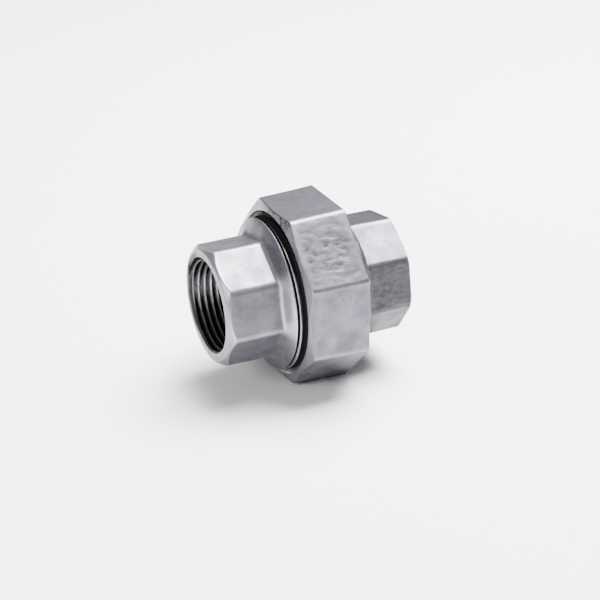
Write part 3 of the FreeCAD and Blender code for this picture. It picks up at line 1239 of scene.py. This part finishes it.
@dataclass(kw_only=True)
class Gasket(TurnedPiece):
    """The flat gasket between the seats, its faces printed with the seats' edges.

    Args:
        outer: Outer radius.
        inner: Radius of its hole.
        edge: Rounding of its edges.
    """

    outer: float = 19.27
    inner: float = 12.70
    edge: float = 0.12

    def outline(self) -> list[Stretch]:
        """Draw the outline, from the hole's edge round the ring.

        Returns:
            The closed outline.
        """
        left, right = self.left, self.right
        return [
            Stretch(left, self.inner + self.edge, Zone.CAST, 0.4),
            Stretch(left, self.outer - self.edge, Zone.CAST, 0.2),
            Stretch(left + self.edge, self.outer, Zone.CAST, 0.4),
            Stretch(right - self.edge, self.outer, Zone.CAST, 0.2),
            Stretch(right, self.outer - self.edge, Zone.CAST, 0.4),
            Stretch(right, self.inner + self.edge, Zone.CAST, 0.2),
            Stretch(right - self.edge, self.inner, Zone.CAST, 0.4),
            Stretch(left + self.edge, self.inner, Zone.CAST, 0.2),
        ]

    def surface(self, zone: Zone, x: float, r: float, angle: float) -> Pressed:
        """The gasket's surface.

        Args:
            zone: How the surface was made.
            x: Place along the axis.
            r: Radius of the outline there.
            angle: Angle round the axis, from upright towards the front.

        Returns:
            The finished radius, wear and grime.
        """
        middle = (self.inner + self.outer) / 2
        cut = 0.06 * relief(x, r, angle, size=1.5, seed=2.0)
        printed = fade(abs(r - middle), 2.9, 2.4) * relief(x, r, angle, size=4.0, seed=7.0)
        return (r - cut if r > middle else r + cut), printed, 0.0


@dataclass(frozen=True)
class Softbox:
    """A large soft light.

    Args:
        name: Name of the light.
        towards: Direction from the union to the light.
        distance: Distance to it, in metres.
        width: Its width, in metres.
        height: Its height, in metres.
        power: Its power, in watts.
    """

    name: str
    towards: Point
    distance: float
    width: float
    height: float
    power: float

    def build(self) -> bpy.types.Object:
        """Hang the light, facing the union.

        Returns:
            The light.
        """
        data = bpy.data.lights.new(self.name, "AREA")
        data.shape = "RECTANGLE"
        data.size = self.width
        data.size_y = self.height
        data.energy = self.power
        light = bpy.data.objects.new(self.name, data)
        direction = Vector(self.towards).normalized()
        turn = direction.to_track_quat("Z", "Y").to_matrix().to_4x4()
        light.matrix_world = Matrix.Translation(direction * self.distance) @ turn
        bpy.context.scene.collection.objects.link(light)
        return light


@dataclass(frozen=True)
class Studio:
    """The paper floor, the lights and the camera.

    Args:
        azimuth: Turn of the camera from straight in front, towards +X.
        elevation: Height of the camera above the horizon.
        roll: Tilt of the picture.
        distance: Distance from the camera to the point it looks at.
        aside: How far that point lies to the left of the nut's back.
        below: How far that point lies below the nut's back.
        lens: Focal length.
        walls: Brightness of the room's walls.
        walls_up_to: Height at which the walls end, 0 at the horizon and 1 overhead.
        ceiling: Brightness of its ceiling.
        ceiling_from: Height at which the ceiling starts.
        floor_size: Width of the paper, in metres.
    """

    azimuth: float = -24.43
    elevation: float = 26.23
    roll: float = -1.04
    distance: float = 385.0
    aside: float = 8.00
    below: float = 5.58
    lens: float = 84.0
    walls: float = 0.07
    walls_up_to: float = 0.5
    ceiling: float = 0.6
    ceiling_from: float = 0.85
    floor_size: float = 8.0

    def camera(self, nut_back: float) -> bpy.types.Object:
        """Set up the camera.

        Args:
            nut_back: Place of the nut's back along the axis.

        Returns:
            The scene's camera.
        """
        azimuth, elevation = math.radians(self.azimuth), math.radians(self.elevation)
        back = Vector((
            math.sin(azimuth) * math.cos(elevation), -math.cos(azimuth) * math.cos(elevation), math.sin(elevation),
        ))
        level = Vector((0.0, 0.0, 1.0)).cross(back).normalized()
        upright = back.cross(level)
        roll = math.radians(self.roll)
        right = level * math.cos(roll) + upright * math.sin(roll)
        up = upright * math.cos(roll) - level * math.sin(roll)
        spot = Vector((nut_back, 0.0, 0.0)) - self.aside * right - self.below * up + self.distance * back
        data = bpy.data.cameras.new("camera")
        data.lens = self.lens
        data.sensor_width = SENSOR
        data.clip_start = 0.01
        camera = bpy.data.objects.new("camera", data)
        camera.matrix_world = Matrix.Translation(spot * MM) @ Matrix((right, up, back)).transposed().to_4x4()
        bpy.context.scene.collection.objects.link(camera)
        bpy.context.scene.camera = camera
        return camera

    def floor(self, height: float) -> bpy.types.Object:
        """Lay the paper.

        Args:
            height: Height of the floor, in metres.

        Returns:
            The paper.
        """
        mesh = bmesh.new()
        bmesh.ops.create_grid(mesh, x_segments=8, y_segments=8, size=self.floor_size / 2)
        bmesh.ops.translate(mesh, verts=mesh.verts[:], vec=(0.0, 0.0, height))
        data = bpy.data.meshes.new("paper")
        data.materials.append(StudioPaper().build())
        mesh.to_mesh(data)
        mesh.free()
        paper = bpy.data.objects.new("paper", data)
        bpy.context.scene.collection.objects.link(paper)
        paper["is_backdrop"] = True
        return paper

    def room(self) -> None:
        """Light the room, with its ceiling brighter than its walls."""
        world = bpy.data.worlds.new("room")
        world.use_nodes = True
        nodes, links = world.node_tree.nodes, world.node_tree.links
        direction = nodes.new("ShaderNodeTexCoord")
        parts = nodes.new("ShaderNodeSeparateXYZ")
        height = nodes.new("ShaderNodeMapRange")
        height.interpolation_type = "SMOOTHSTEP"
        height.inputs["From Min"].default_value = self.walls_up_to
        height.inputs["From Max"].default_value = self.ceiling_from
        height.inputs["To Min"].default_value = self.walls
        height.inputs["To Max"].default_value = self.ceiling
        links.new(direction.outputs["Generated"], parts.inputs[0])
        links.new(parts.outputs["Z"], height.inputs["Value"])
        links.new(height.outputs[0], nodes["Background"].inputs["Strength"])
        nodes["Background"].inputs["Color"].default_value = grey(1.0, 0.03)
        bpy.context.scene.world = world

    def build(self, floor: float, nut_back: float) -> None:
        """Set up the studio.

        Args:
            floor: Height of the floor, in metres.
            nut_back: Place of the nut's back along the axis.
        """
        self.floor(floor)
        self.camera(nut_back)
        self.room()
        Softbox("overhead", (0.37, 0.13, 0.92), distance=0.8, width=0.6, height=0.6, power=54.0).build()
        Softbox("left", (-0.89, -0.22, 0.42), distance=0.8, width=0.3, height=0.3, power=5.0).build()


def main() -> None:
    """Build the union and its studio."""
    logging.basicConfig(level=logging.INFO, format="%(name)s: %(message)s")
    solid_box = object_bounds()
    turned = TurnedFace("turned_zinc").build()
    pipe_thread = CutThread("oiled_pipe_thread").build()
    union_thread = CutThread("oiled_union_thread", crest=0.60, root=0.01).build()
    union = UnionThread(seat=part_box("head_end")[1].x / MM)
    head_skin = ZincSkin("zinc_head").build()
    tail_skin = ZincSkin("zinc_tail", clean=0.115, dull=0.085).build()
    nut_skin = ZincSkin("zinc_nut", clean=0.14, dull=0.095, grain=0.018, streaks=0.8).build()
    fibre = FibreSheet().build()

    HeadEnd(
        name="head_casting", node="head_end", body="head", slot="galvanised_head", union=union,
        section=Octagon(flat=15.9, rounding=2.8, turn=-11.3), rim=15.21, chamfer=1.9,
        finishes={
            Zone.SKIN: head_skin, Zone.CAST: head_skin, Zone.TURNED: turned,
            Zone.PIPE_THREAD: pipe_thread, Zone.UNION_THREAD: union_thread,
        },
    ).build()
    TailEnd(
        name="tail_casting", node="tail_end", body="tail", slot="galvanised_tail",
        section=Octagon(flat=15.9, rounding=2.6, turn=-9.0), rim=16.51, chamfer=0.6,
        finishes={
            Zone.SKIN: tail_skin, Zone.CAST: tail_skin, Zone.TURNED: turned, Zone.PIPE_THREAD: pipe_thread,
        },
    ).build()
    nut = UnionNut(
        name="nut_casting", node="union_nut", body="nut", slot="galvanised_nut", union=union,
        section=Octagon(flat=24.652, rounding=1.9), steps=400,
        finishes={
            Zone.SKIN: nut_skin, Zone.CAST: nut_skin, Zone.TURNED: turned, Zone.UNION_THREAD: union_thread,
        },
    )
    nut.build()
    Gasket(
        name="gasket_ring", node="gasket", body="seal", slot="gasket_fibre", steps=180,
        finishes={Zone.CAST: fibre},
    ).build()

    Studio().build(solid_box[0].z, nut.right)


if __name__ == "__main__":
    main()
